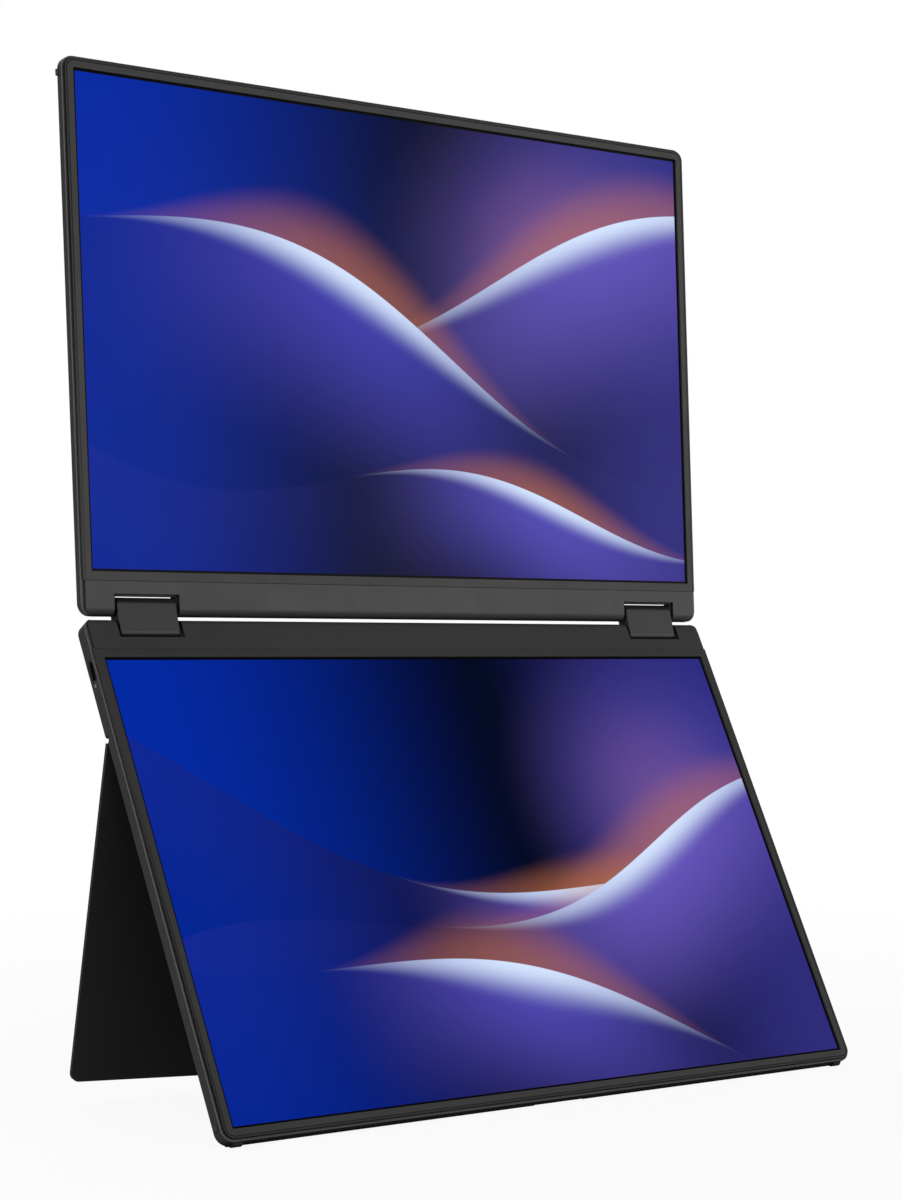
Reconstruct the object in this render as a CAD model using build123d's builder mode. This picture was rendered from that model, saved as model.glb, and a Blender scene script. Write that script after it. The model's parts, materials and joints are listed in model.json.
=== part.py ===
from build123d import *
import os
from math import cos, radians, sin, tan

# A dual portable monitor: two screens joined by geared two-pin hinges, with a folding stand.
# Millimetres and degrees, +Z up, the screens facing -Y, standing open on a table.
# Origin: on the table, midway between the sides and between the front and the back.
# Each screen has its own frame on its hinge pin: u along the pin, v away from the hinge,
# w out of the screen. The sizes below follow those letters.

# Picture and case
active_width = 301.6
active_height = 188.5
side_border = 5.4
far_border = 5.4
hinge_border = 18.1
upper_thickness = 5.4
lower_thickness = 8.0
corner_radius = 5.0
back_bevel = 0.8
rim_bevel = 0.3
rim_width = 1.4
rim_rise = 0.15
back_wall = 0.9
ledge_width = 3.0
lip_wall = 1.2
lip_top = -0.6
upper_back_roll = 2.0
lower_back_roll = 3.2
fit_gap = 0.1
slip_gap = 0.05
overrun = 2.0

# Display stack
bezel_thickness = 0.9
bezel_lap = 0.6
picture_margin = 0.9
bezel_corner = 0.5
glass_thickness = 0.9
glass_lap = 1.4
chassis_thickness = 0.5
chassis_gap = 0.2
flex_window = (60.0, 6.0)

# Chin strip along the hinge edge
chin_height = 13.6
chin_wall = 1.2

# Photographed pose: how far each piece leans back from upright
lower_lean_degrees = 28.48
upper_lean_degrees = 3.11
stand_lean_degrees = -13.8

# Hinges
pin_spacing = 8.0
hinge_setback = 28.2
notch_width = 28.8
notch_depth = 5.4
notch_wall = 1.4
cover_notch_inset = 1.0
cover_notch_depth = 4.7
block_width = 26.0
block_height = 15.9
block_front = 3.2
block_back = 3.6
block_radius = 2.0
block_back_radius = 2.8
block_bevel = 0.3
block_wall = 1.2
block_back_wall = 1.7
block_end_wall = 2.0
cap_thickness = 1.5
shaft_radius = 1.0
shaft_flat = 0.35
shaft_tail = 2.5
bracket_width = 12.0
bracket_gap = 0.4
bracket_leaf = 0.7
bracket_reach = 9.6

# Gear train in each hinge: two shaft gears and two idlers on one line
gear_module = 0.2
shaft_teeth = 16
idler_teeth = 12
addendum_share = 0.8
dedendum_share = 1.25
tooth_share = 0.37
tooth_sink = 0.08
tooth_angle = 70.0
gear_width = 3.0
gear_gap = 0.2
idler_pin_radius = 0.5

# Friction plates that hold both shafts
plate_count = 2
plate_thickness = 7.6
plate_pitch = 8.4
plate_ring = 0.7
plate_web = 1.2
plate_slit = 0.6

# Stand
stand_axis_v = 45.8
stand_thickness = 1.5
stand_barrel_radius = 1.2
stand_floor_gap = 0.15
stand_groove_gap = 0.35
stand_side_gap = 0.4
stand_edge_gap = 0.5
stand_corner_radius = 4.0
stand_edge_slope = 3.3
stand_foot_width = 24.0
stand_foot_depth = 4.0
stand_pin_radius = 0.55
stand_pin_bite = 8.0
stand_leaf_share = 0.5
stand_leaf_width = 26.0
stand_leaf_gap = 0.3
stand_leaf_reach = 12.0
stand_leaf_thickness = 0.8
stand_relief = 1.75
stand_rib_low = 2.9
stand_rib_high = 3.2
stand_rib_rise = 1.0
stand_end_setback = 3.0
side_relief_width = 4.0
scoop_width = 24.8

# Rubber feet and bumpers
foot_radius = 2.0
foot_rise = 1.1
foot_length = 4.0
foot_setback = 6.7
foot_level = -1.15
bumper_radius = 1.0
bumper_rise = 0.9
bumper_length = 2.2
bumper_setback = 6.2
lower_bumper_level = -0.3
upper_bumper_level = -0.8

# Sockets, light and buttons on the lower screen's sides
socket_level = -0.85
socket_wall = 0.3
socket_depth = 7.4
socket_setback = 0.25
socket_tongue = 0.7
socket_tongue_margin = 1.1
socket_tongue_setback = 1.0
usb_width = 8.9
usb_height = 3.2
usb_v = 18.2
hdmi_width = 11.2
hdmi_height = 2.9
hdmi_v = 34.0
hdmi_corner_share = 0.4
usb_facets = 12
light_radius = 0.7
light_v = 24.2
light_level = -1.2
light_flange = 0.6
button_length = 9.0
button_height = 2.0
button_rise = 0.5
button_travel = 0.3
button_clearance = 0.15
button_flange = 0.4
button_flange_thickness = 0.7
button_level = -0.6
button_places_v = (54.0, 68.0)
button_names = ("power_button", "menu_button")
switch_size = 3.0

# Boards and the tripod socket
board_thickness = 0.8
board_standoff = 0.9
standoff_size = 4.0
board_low_v = 10.5
main_board_high_v = 32.0
port_board_high_v = 41.5
main_board_length = 117.5
port_board_leaf_gap = 4.9
board_edge_gap = 0.3
key_board_low_v = 50.0
key_board_length = 24.0
key_board_width = 10.0
chip_height = 1.0
chip_sizes = ((20.0, 16.0), (26.0, 14.0), (12.0, 9.0))
chip_place_shares = ((0.22, 0.5), (0.52, 0.5), (0.8, 0.3))
driver_board_width = 120.0
driver_board_low_v = 15.0
driver_board_depth = 14.0
driver_chip_height = 0.7
insert_v = 24.0
insert_radius = 4.6
insert_bore = 3.2
insert_depth = 5.0
insert_collar = 1.4

# Screws
screw_radius = 0.8
screw_head_radius = 1.6
screw_head_height = 0.5
screw_bite = 0.5

# Worked out from the sizes above
sides = (-1, 1)
side_names = {-1: "left", 1: "right"}
panel_width = active_width + 2 * side_border
panel_height = active_height + far_border + hinge_border
inner_width = panel_width - 2 * rim_width
pin_depth = (upper_thickness + lower_thickness) / 4
chin_front = pin_depth - rim_rise
chin_inner = chin_front - chin_wall
hinge_edge = -chin_front
far_edge = panel_height - chin_front
chin_top = hinge_edge + chin_height
picture_low = hinge_border - chin_front
picture_high = picture_low + active_height
inner_far = far_edge - rim_width
bezel_high = inner_far + bezel_lap
bezel_back = chin_front - bezel_thickness
rim_top = bezel_back - slip_gap
glass_back = bezel_back - glass_thickness
ledge_top = glass_back - chassis_thickness
upper_back = pin_depth - upper_thickness
lower_back = pin_depth - lower_thickness
upper_floor = upper_back + back_wall
deep_floor = lower_back + back_wall
pocket_low = hinge_edge + lip_wall
hinge_offset = panel_width / 2 - hinge_setback
foot_offset = panel_width / 2 - foot_setback
stand_leaf_offset = panel_width / 2 * stand_leaf_share
notch_near = hinge_offset - notch_width / 2
notch_far = hinge_offset + notch_width / 2
recess_depth = stand_thickness + stand_floor_gap
stand_floor = lower_back + recess_depth + back_wall
stand_axis_w = lower_back + stand_barrel_radius
stand_middle_w = stand_thickness / 2 - stand_barrel_radius
stand_groove = stand_barrel_radius + stand_groove_gap
stand_rib_top = stand_axis_w + stand_groove + stand_rib_rise
stand_width = panel_width - 2 * stand_side_gap
idler_radius = gear_module * idler_teeth / 2
shaft_gear_radius = gear_module * shaft_teeth / 2
idler_place = pin_spacing / 2 - shaft_gear_radius - idler_radius


def frame_at(origin, x_sign, lean):
    """Frame leaning back from upright, w towards the viewer."""
    return Plane(origin=origin, x_dir=(x_sign, 0, 0), z_dir=(0, -cos(radians(lean)), sin(radians(lean))))


# The feet and the stand's foot touch the table, and the box is centred from front to back
down_share = cos(radians(lower_lean_degrees))
back_share = sin(radians(lower_lean_degrees))
foot_v = far_edge + foot_rise - foot_radius
pin_height = foot_v * down_share - foot_level * back_share + foot_radius
stand_height = pin_height - stand_axis_v * down_share + stand_axis_w * back_share
stand_drop_share = cos(radians(stand_lean_degrees))
stand_back_share = -sin(radians(stand_lean_degrees))
stand_round = stand_thickness / 2
stand_reach = (stand_height - stand_middle_w * stand_back_share - stand_round) / stand_drop_share
front_y = -bezel_high * back_share - chin_front * down_share
stand_axis_y = -stand_axis_v * back_share - stand_axis_w * down_share
back_y = stand_axis_y + stand_reach * stand_back_share - stand_middle_w * stand_drop_share + stand_round
pin_y = -(front_y + back_y) / 2
link_lean_degrees = (lower_lean_degrees + upper_lean_degrees) / 2
link_back_share = sin(radians(link_lean_degrees))
link_up_share = cos(radians(link_lean_degrees))
link_y = pin_y + pin_spacing / 2 * link_back_share
link_height = pin_height + pin_spacing / 2 * link_up_share
upper_y = pin_y + pin_spacing * link_back_share
upper_height = pin_height + pin_spacing * link_up_share

lower = frame_at((0, pin_y, pin_height), -1, lower_lean_degrees)
link = frame_at((0, link_y, link_height), 1, link_lean_degrees)
upper = frame_at((0, upper_y, upper_height), 1, upper_lean_degrees)
stand_seat = frame_at(lower.from_local_coords((0, stand_axis_v, stand_axis_w)), -1, lower_lean_degrees)
stand = frame_at(lower.from_local_coords((0, stand_axis_v, stand_axis_w)), -1, stand_lean_degrees)


def keep(piece, name):
    """Label a finished piece and write its file."""
    piece.part.label = name
    export_step(piece.part, f"parts/{name}.step")


def on_side(frame, side):
    """Sign of u on the object's left (-1) or right (1) side."""
    return side * round(frame.x_dir.X)


def span(frame, side, near, far):
    """Cross plane (v, w) at the lower u end of a stretch on one side, and its length."""
    start = near if on_side(frame, side) > 0 else -far
    return cross_plane(frame, start), far - near


def cross_plane(frame, u):
    """Plane across the pin direction: its x is v and its y is w."""
    return Plane(origin=frame.from_local_coords((u, 0, 0)), x_dir=frame.y_dir, z_dir=frame.x_dir)


def end_plane(frame, u, v, w):
    """Plane across v: its x is u."""
    return Plane(origin=frame.from_local_coords((u, v, w)), x_dir=frame.x_dir, z_dir=frame.y_dir)


def slab(frame, level, width, low, high, radius=0, middle=0):
    """Rectangle in u and v at a level in w."""
    with BuildSketch(frame.offset(level)) as outline:
        with Locations((middle, (low + high) / 2)):
            if radius:
                RectangleRounded(width, high - low, radius)
            else:
                Rectangle(width, high - low)
    return outline.sketch


def disc(plane, radius, x=0, y=0):
    """Circle on a plane."""
    with BuildSketch(plane) as outline:
        with Locations((x, y)):
            Circle(radius)
    return outline.sketch


def oblong(plane, width, height, radius, x=0, y=0):
    """Rounded rectangle on a plane."""
    with BuildSketch(plane) as outline:
        with Locations((x, y)):
            RectangleRounded(width, height, radius)
    return outline.sketch


def roll_waste(frame, edge_w, roll, side):
    """What is cut away to roll the hinge edge over: side is 1 at the front, -1 at the back."""
    middle_v = hinge_edge + roll
    middle_w = edge_w - side * roll
    size = roll + overrun
    with BuildSketch(cross_plane(frame, -panel_width / 2 - overrun)) as waste:
        with Locations((middle_v - size / 2, middle_w + side * size / 2)):
            Rectangle(size, size)
        with Locations((middle_v, middle_w)):
            Circle(roll, mode=Mode.SUBTRACT)
    return waste.sketch


def notch_block(plane, floor):
    """Profile of the walls around a hinge notch, under the chin strip."""
    radius = chin_inner - fit_gap
    depth = notch_depth + notch_wall
    with BuildSketch(plane) as profile:
        Circle(radius)
        with Locations((depth / 2, (radius + floor) / 2)):
            Rectangle(depth, radius - floor)
        with Locations((-radius / 2, floor / 2)):
            Rectangle(radius, -floor)
    return profile.sketch


def back_tray(frame, back, back_roll, pockets):
    """Back cover with its rim, ledge, rolled hinge edge, pockets and hinge notches."""
    depth = pin_depth - back
    normal = Axis(frame.origin, frame.z_dir)
    inner_radius = corner_radius - rim_width
    with BuildPart() as tray:
        body = slab(frame, back, panel_width, hinge_edge, far_edge, corner_radius)
        extrude(body, amount=rim_top - back)
        chamfer(tray.faces().sort_by(normal)[0].edges(), back_bevel)
        chamfer(tray.faces().sort_by(normal)[-1].edges(), rim_bevel)
        for edge_w, roll, side in ((pin_depth, chin_front, 1), (back, back_roll, -1)):
            waste = roll_waste(frame, edge_w, roll, side)
            extrude(waste, amount=panel_width + 2 * overrun, mode=Mode.SUBTRACT)
        stack = slab(frame, ledge_top, inner_width, pocket_low, inner_far, inner_radius)
        extrude(stack, amount=depth, mode=Mode.SUBTRACT)
        seat_high = chin_top + lip_wall
        chin_seat = slab(frame, lip_top, inner_width, hinge_edge - fit_gap, seat_high, inner_radius)
        extrude(chin_seat, amount=depth, mode=Mode.SUBTRACT)
        pocket_width = inner_width - 2 * ledge_width
        for low, high, floor in pockets:
            pocket = slab(frame, floor, pocket_width, low, high)
            extrude(pocket, amount=ledge_top - floor, mode=Mode.SUBTRACT)
        floor = min(pocket[2] for pocket in pockets)
        for side in sides:
            place, length = span(frame, side, notch_near - notch_wall, notch_far + notch_wall)
            extrude(notch_block(place, floor), amount=length)
            middle = on_side(frame, side) * hinge_offset
            notch = slab(frame, back - overrun, notch_width - 2 * cover_notch_inset,
                         hinge_edge - overrun, cover_notch_depth, middle=middle)
            extrude(notch, amount=depth + 2 * overrun, mode=Mode.SUBTRACT)
            extrude(disc(place, shaft_radius + slip_gap), amount=length, mode=Mode.SUBTRACT)
    return tray.part


def screw_places(frame, side):
    """Where a hinge bracket's screw stands, in u and v."""
    middle = notch_near - notch_wall - bracket_gap - bracket_width / 2
    return [(on_side(frame, side) * middle, bracket_reach - 2 * screw_head_radius)]


def screw_holes(frame, floor, places):
    """Blind holes for screws in a cover's floor."""
    with BuildSketch(frame.offset(floor - screw_bite)) as holes:
        with Locations(*places):
            Circle(screw_radius + slip_gap)
    return holes.sketch


def screws(frame, floor, leaf, places):
    """Screws that hold a leaf down on a floor."""
    with BuildPart() as group:
        for place in places:
            shank = disc(frame.offset(floor - screw_bite), screw_radius, *place)
            extrude(shank, amount=screw_bite + leaf)
            head = disc(frame.offset(floor + leaf), screw_head_radius, *place)
            extrude(head, amount=screw_head_height)
    return group


def stand_outline(frame, level, grow):
    """Stand plate's outline in u and v from its pin, its lower edge rising to the corners."""
    half = stand_width / 2 + grow
    foot_half = stand_foot_width / 2 + grow
    tip = stand_reach + grow
    corner = tip - (half - foot_half) * tan(radians(stand_edge_slope))
    with BuildSketch(frame.offset(level)) as outline:
        with BuildLine():
            Polyline((-half, 0), (half, 0), (half, corner), (foot_half, tip),
                     (-foot_half, tip), (-half, corner), close=True)
        make_face()
        if not grow:
            lower_corners = outline.vertices().sort_by(Axis.Y)[2:4]
            fillet(lower_corners, stand_corner_radius)
    return outline.sketch


def bumper_profile(frame, side, level, gap):
    """Round section of a corner bumper on one side."""
    u = side * (panel_width / 2 + bumper_rise - bumper_radius)
    v = far_edge - bumper_setback - bumper_length / 2
    return disc(end_plane(frame, u, v, level), bumper_radius + gap)


def chin_profile(plane):
    """Chin strip's section: flat in front, rolled back around the hinge pin."""
    seat = lip_top + slip_gap
    with BuildSketch(plane) as profile:
        with BuildLine():
            Polyline((0, chin_front), (chin_top, chin_front), (chin_top, chin_inner), (0, chin_inner))
            CenterArc((0, 0), chin_inner, 90, 90)
            Polyline((-chin_inner, 0), (-chin_inner, seat), (-chin_front, seat), (-chin_front, 0))
            CenterArc((0, 0), chin_front, 90, 90)
        make_face()
    return profile.sketch


def cavity_profile(plane, gap):
    """Room for the gears and friction plates inside a hinge block."""
    front = block_front - block_wall
    back = block_back_wall - block_back
    height = block_height - 2 * block_wall - 2 * gap
    depth = front - back - 2 * gap
    with BuildSketch(plane) as room:
        with Locations((0, (front + back) / 2)):
            Rectangle(height, depth)
    return room.sketch


def block_profile(plane):
    """Section of a hinge block, rounder at the back than at the front."""
    with BuildSketch(plane) as profile:
        with Locations((0, (block_front - block_back) / 2)):
            Rectangle(block_height, block_front + block_back)
        fillet(profile.vertices().group_by(Axis.Y)[-1], block_radius)
        fillet(profile.vertices().group_by(Axis.Y)[0], block_back_radius)
    return profile.sketch


def shaft_pair(plane):
    """Holes for both shafts."""
    with BuildSketch(plane) as holes:
        with Locations((-pin_spacing / 2, 0), (pin_spacing / 2, 0)):
            Circle(shaft_radius + slip_gap)
    return holes.sketch


def friction_profile(plane):
    """Plate with a split ring around each shaft."""
    inner = shaft_radius + slip_gap
    outer = inner + plate_ring
    with BuildSketch(plane) as profile:
        Rectangle(pin_spacing, plate_web)
        with Locations((-pin_spacing / 2, 0), (pin_spacing / 2, 0)):
            Rectangle(2 * outer, 2 * outer)
        corners = profile.vertices().group_by(Axis.X)
        chamfer(corners[0] + corners[-1], plate_ring)
        with Locations((-pin_spacing / 2, 0), (pin_spacing / 2, 0)):
            Circle(inner, mode=Mode.SUBTRACT)
        with Locations((-pin_spacing / 2 - outer, 0), (pin_spacing / 2 + outer, 0)):
            Rectangle(2 * outer, plate_slit, mode=Mode.SUBTRACT)
    return profile.sketch


def gear_profile(plane, across, teeth, turn):
    """Spur gear with straight-sided teeth, turned so that it meshes."""
    pitch = gear_module * teeth / 2
    root = pitch - dedendum_share * gear_module
    foot = root - tooth_sink
    height = pitch + addendum_share * gear_module - foot
    slope = tan(radians(tooth_angle))
    foot_width = tooth_share * gear_module * radians(180) + 2 * (pitch - foot) / slope
    with BuildSketch(plane) as profile:
        with Locations((across, 0)):
            RegularPolygon(root, teeth, rotation=turn)
            with PolarLocations(foot, teeth, start_angle=turn):
                Trapezoid(foot_width, height, tooth_angle, align=(Align.CENTER, Align.MIN), rotation=-90)
    return profile.sketch


def flat_profile(plane):
    """What is cut off a shaft's end to key it in its bracket."""
    with BuildSketch(plane) as profile:
        with Locations((0, shaft_flat - shaft_radius - overrun / 2)):
            Rectangle(2 * shaft_radius + overrun, overrun)
    return profile.sketch


def bracket_profile(plane, floor):
    """Hinge bracket: a knuckle with a keyed hole, and a leaf on the cover's floor."""
    knuckle = chin_inner - fit_gap
    low = pocket_low + lip_wall + fit_gap
    hole = shaft_radius + slip_gap
    with BuildSketch(plane) as profile:
        Circle(knuckle)
        with Locations(((low + knuckle) / 2, floor / 2)):
            Rectangle(knuckle - low, -floor)
        with Locations((bracket_reach / 2, floor + bracket_leaf / 2)):
            Rectangle(bracket_reach, bracket_leaf)
        with Locations((0, floor - overrun)):
            Rectangle(2 * bracket_reach, 2 * overrun, mode=Mode.SUBTRACT)
        Circle(hole, mode=Mode.SUBTRACT)
        with Locations((0, shaft_flat - shaft_radius - slip_gap - shaft_flat / 2)):
            Rectangle(2 * shaft_radius, shaft_flat)
    return profile.sketch


def usb_outline(plane, width, height, x, y):
    """Outline of a socket with round ends, in flat facets."""
    radius = height / 2
    reach = width / 2 - radius
    with BuildSketch(plane) as outline:
        with Locations((x, y)):
            Rectangle(2 * reach, height)
        with Locations((x - reach, y), (x + reach, y)):
            RegularPolygon(radius, usb_facets)
    return outline.sketch


def hdmi_outline(plane, width, height, x, y):
    """Outline of a socket with its two back corners cut off."""
    with BuildSketch(plane) as outline:
        with Locations((x, y)):
            Rectangle(width, height)
        chamfer(outline.vertices().group_by(Axis.Y)[0], height * hdmi_corner_share)
    return outline.sketch


def socket_relief(side, width, place_v):
    """Cut-out in a board where a socket is sunk into it."""
    depth = board_outer - (panel_width / 2 - socket_setback - socket_depth) + fit_gap
    middle = on_side(lower, side) * (board_outer - depth / 2 + overrun / 2)
    low = place_v - width / 2 - fit_gap
    high = place_v + width / 2 + fit_gap
    return slab(lower, board_bottom, depth + overrun, low, high, middle=middle)


def light_relief():
    """Cut-out in the main board where the status light's flange stands."""
    reach = light_radius + light_flange + fit_gap
    width = 2 * light_flange + overrun
    middle = on_side(lower, -1) * (board_outer - width / 2 + overrun)
    return slab(lower, board_bottom, width, light_v - reach, light_v + reach, middle=middle)


os.makedirs("parts", exist_ok=True)

# Lower back cover
rib_low = stand_axis_v - stand_rib_low
rib_high = stand_axis_v + stand_rib_high
roll_floor = -chin_inner
lower_pockets = (
    (pocket_low, rib_low, roll_floor),
    (pocket_low + lip_wall, rib_low, deep_floor),
    (rib_low - overrun, rib_high + overrun, stand_rib_top),
    (rib_high, inner_far - ledge_width, stand_floor),
)
pipe_inner = inner_width / 2 - ledge_width
socket_places = (("usb_c_socket_left", -1, usb_outline, usb_width, usb_height, usb_v),
                 ("usb_c_socket_right", 1, usb_outline, usb_width, usb_height, usb_v),
                 ("mini_hdmi_socket", 1, hdmi_outline, hdmi_width, hdmi_height, hdmi_v))
board_bottom = deep_floor + board_standoff
stand_tip_v = stand_axis_v + stand_reach
board_outer = inner_width / 2 - ledge_width - board_edge_gap
main_board_inner = board_outer - main_board_length
port_board_inner = stand_leaf_offset + stand_leaf_width / 2 + port_board_leaf_gap
main_sign = on_side(lower, -1)
port_sign = on_side(lower, 1)
boards = ((main_sign, main_board_inner, main_board_high_v),
          (port_sign, port_board_inner, port_board_high_v))
standoffs = [(sign * u, v) for sign, inner, high in boards
             for u in (inner + standoff_size / 2, board_outer - socket_depth - standoff_size / 2)
             for v in (board_low_v + standoff_size / 2, high - standoff_size / 2)]
leaf_screw_v = stand_axis_v - stand_leaf_reach + screw_head_radius + fit_gap
leaf_screws = [(sign * stand_leaf_offset, leaf_screw_v) for sign in sides]

with BuildPart() as lower_back_cover:
    add(back_tray(lower, lower_back, lower_back_roll, lower_pockets))
    # Recess and pin groove for the stand, with a finger scoop out of the bottom edge
    recess = stand_outline(stand_seat, -stand_barrel_radius, stand_edge_gap)
    extrude(recess, amount=recess_depth, mode=Mode.SUBTRACT)
    groove = disc(cross_plane(stand_seat, -panel_width / 2 - overrun), stand_groove)
    extrude(groove, amount=panel_width + 2 * overrun, mode=Mode.SUBTRACT)
    scoop = slab(lower, lower_back - overrun, scoop_width, stand_tip_v - overrun, far_edge + overrun)
    extrude(scoop, amount=overrun + recess_depth, mode=Mode.SUBTRACT)
    # The sides stay as thin as the recess down to the bottom edge
    for sign in sides:
        relief_middle = sign * (panel_width / 2 - side_relief_width / 2 + overrun / 2)
        relief = slab(lower, lower_back - overrun, side_relief_width + overrun, stand_axis_v,
                      far_edge + overrun, middle=relief_middle)
        extrude(relief, amount=overrun + recess_depth, mode=Mode.SUBTRACT)
    # Slots that let the stand's leaves through the rib
    for sign in sides:
        slot_width = stand_leaf_width + 2 * stand_leaf_gap
        slot = slab(lower, deep_floor, slot_width, rib_low - overrun, stand_axis_v,
                    middle=sign * stand_leaf_offset)
        extrude(slot, amount=stand_leaf_thickness + stand_leaf_gap, mode=Mode.SUBTRACT)
    # Standoffs for the boards, and the tripod socket's boss
    with BuildSketch(lower.offset(deep_floor)):
        with Locations(*standoffs):
            Rectangle(standoff_size, standoff_size)
    extrude(amount=board_standoff)
    boss = disc(lower.offset(deep_floor), insert_radius + insert_collar, 0, insert_v)
    extrude(boss, amount=insert_depth - back_wall)
    extrude(disc(lower.offset(lower_back - overrun), insert_radius + slip_gap, 0, insert_v),
            amount=overrun + insert_depth, mode=Mode.SUBTRACT)
    for side in sides:
        holes = screw_holes(lower, deep_floor, screw_places(lower, side))
        extrude(holes, amount=screw_bite, mode=Mode.SUBTRACT)
    extrude(screw_holes(lower, deep_floor, leaf_screws), amount=screw_bite, mode=Mode.SUBTRACT)
    # Openings in the sides
    mouths = [(side, outline, (width + 2 * fit_gap, height + 2 * fit_gap, place_v, socket_level))
              for name, side, outline, width, height, place_v in socket_places]
    mouths += [(1, oblong, (button_length + 2 * button_clearance, button_height + 2 * button_clearance,
                            button_height / 2, place_v, button_level)) for place_v in button_places_v]
    mouths.append((-1, disc, (light_radius + slip_gap, light_v, light_level)))
    for side, shape, sizes in mouths:
        place, length = span(lower, side, pipe_inner - overrun, panel_width / 2 + overrun)
        extrude(shape(place, *sizes), amount=length, mode=Mode.SUBTRACT)
    # Seats for the rubber feet and bumpers
    for sign in sides:
        place = cross_plane(lower, sign * foot_offset - foot_length / 2 - slip_gap)
        seat = disc(place, foot_radius + slip_gap, foot_v, foot_level)
        extrude(seat, amount=foot_length + 2 * slip_gap, mode=Mode.SUBTRACT)
    for sign in sides:
        bumper_seat = bumper_profile(lower, sign, lower_bumper_level, slip_gap)
        extrude(bumper_seat, amount=bumper_length, mode=Mode.SUBTRACT)
keep(lower_back_cover, "lower_back_cover")

# Upper back cover
upper_pockets = ((pocket_low, inner_far - ledge_width, upper_floor),)
with BuildPart() as upper_back_cover:
    add(back_tray(upper, upper_back, upper_back_roll, upper_pockets))
    for side in sides:
        holes = screw_holes(upper, upper_floor, screw_places(upper, side))
        extrude(holes, amount=screw_bite, mode=Mode.SUBTRACT)
        bumper_seat = bumper_profile(upper, side, upper_bumper_level, slip_gap)
        extrude(bumper_seat, amount=bumper_length, mode=Mode.SUBTRACT)
keep(upper_back_cover, "upper_back_cover")

# The pieces that both screens share: bezel, chin strip, glass, chassis plate and bumpers
bezel_width = inner_width + 2 * bezel_lap
chin_width = inner_width - 2 * fit_gap
glass_margin = picture_margin + glass_lap
screens = (("lower", lower, lower_bumper_level), ("upper", upper, upper_bumper_level))
for name, frame, bumper_level in screens:
    with BuildPart() as front_bezel:
        outer = slab(frame, bezel_back, bezel_width, chin_top + fit_gap, bezel_high,
                     corner_radius - rim_width + bezel_lap)
        extrude(outer, amount=bezel_thickness)
        square_end = slab(frame, bezel_back, bezel_width, chin_top + fit_gap, chin_top + corner_radius)
        extrude(square_end, amount=bezel_thickness)
        opening = slab(frame, bezel_back, active_width + 2 * picture_margin, picture_low - picture_margin,
                       picture_high + picture_margin, bezel_corner)
        extrude(opening, amount=bezel_thickness, mode=Mode.SUBTRACT)
    keep(front_bezel, f"{name}_front_bezel")

    with BuildPart() as chin_strip:
        extrude(chin_profile(cross_plane(frame, -chin_width / 2)), amount=chin_width)
        ends = slab(frame, hinge_edge, chin_width, hinge_edge, chin_top + corner_radius,
                    corner_radius - rim_width)
        extrude(ends, amount=2 * chin_front, mode=Mode.INTERSECT)
        for side in sides:
            middle = side * hinge_offset
            notch = slab(frame, hinge_edge, notch_width, hinge_edge - overrun, notch_depth, middle=middle)
            extrude(notch, amount=2 * chin_front, mode=Mode.SUBTRACT)
    keep(chin_strip, f"{name}_chin_strip")

    with BuildPart() as display_glass:
        extrude(slab(frame, glass_back, active_width + 2 * glass_margin, picture_low - glass_margin,
                     picture_high + glass_margin), amount=glass_thickness)
    keep(display_glass, f"{name}_display_glass")

    with BuildPart() as display_chassis:
        sheet = slab(frame, ledge_top, inner_width - 2 * chassis_gap, chin_top + chassis_gap,
                     inner_far - chassis_gap, corner_radius - rim_width)
        extrude(sheet, amount=chassis_thickness)
        window_width, window_height = flex_window
        window_high = picture_low + window_height
        window = slab(frame, ledge_top, window_width, picture_low, window_high, bezel_corner)
        extrude(window, amount=chassis_thickness, mode=Mode.SUBTRACT)
    keep(display_chassis, f"{name}_display_chassis")

    with BuildPart() as side_bumpers:
        for side in sides:
            extrude(bumper_profile(frame, side, bumper_level, 0), amount=bumper_length)
    keep(side_bumpers, f"{name}_side_bumpers")

# Feet under the lower screen
with BuildPart() as front_feet:
    for side in sides:
        place = cross_plane(lower, side * foot_offset - foot_length / 2)
        extrude(disc(place, foot_radius, foot_v, foot_level), amount=foot_length)
keep(front_feet, "front_feet")

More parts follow.
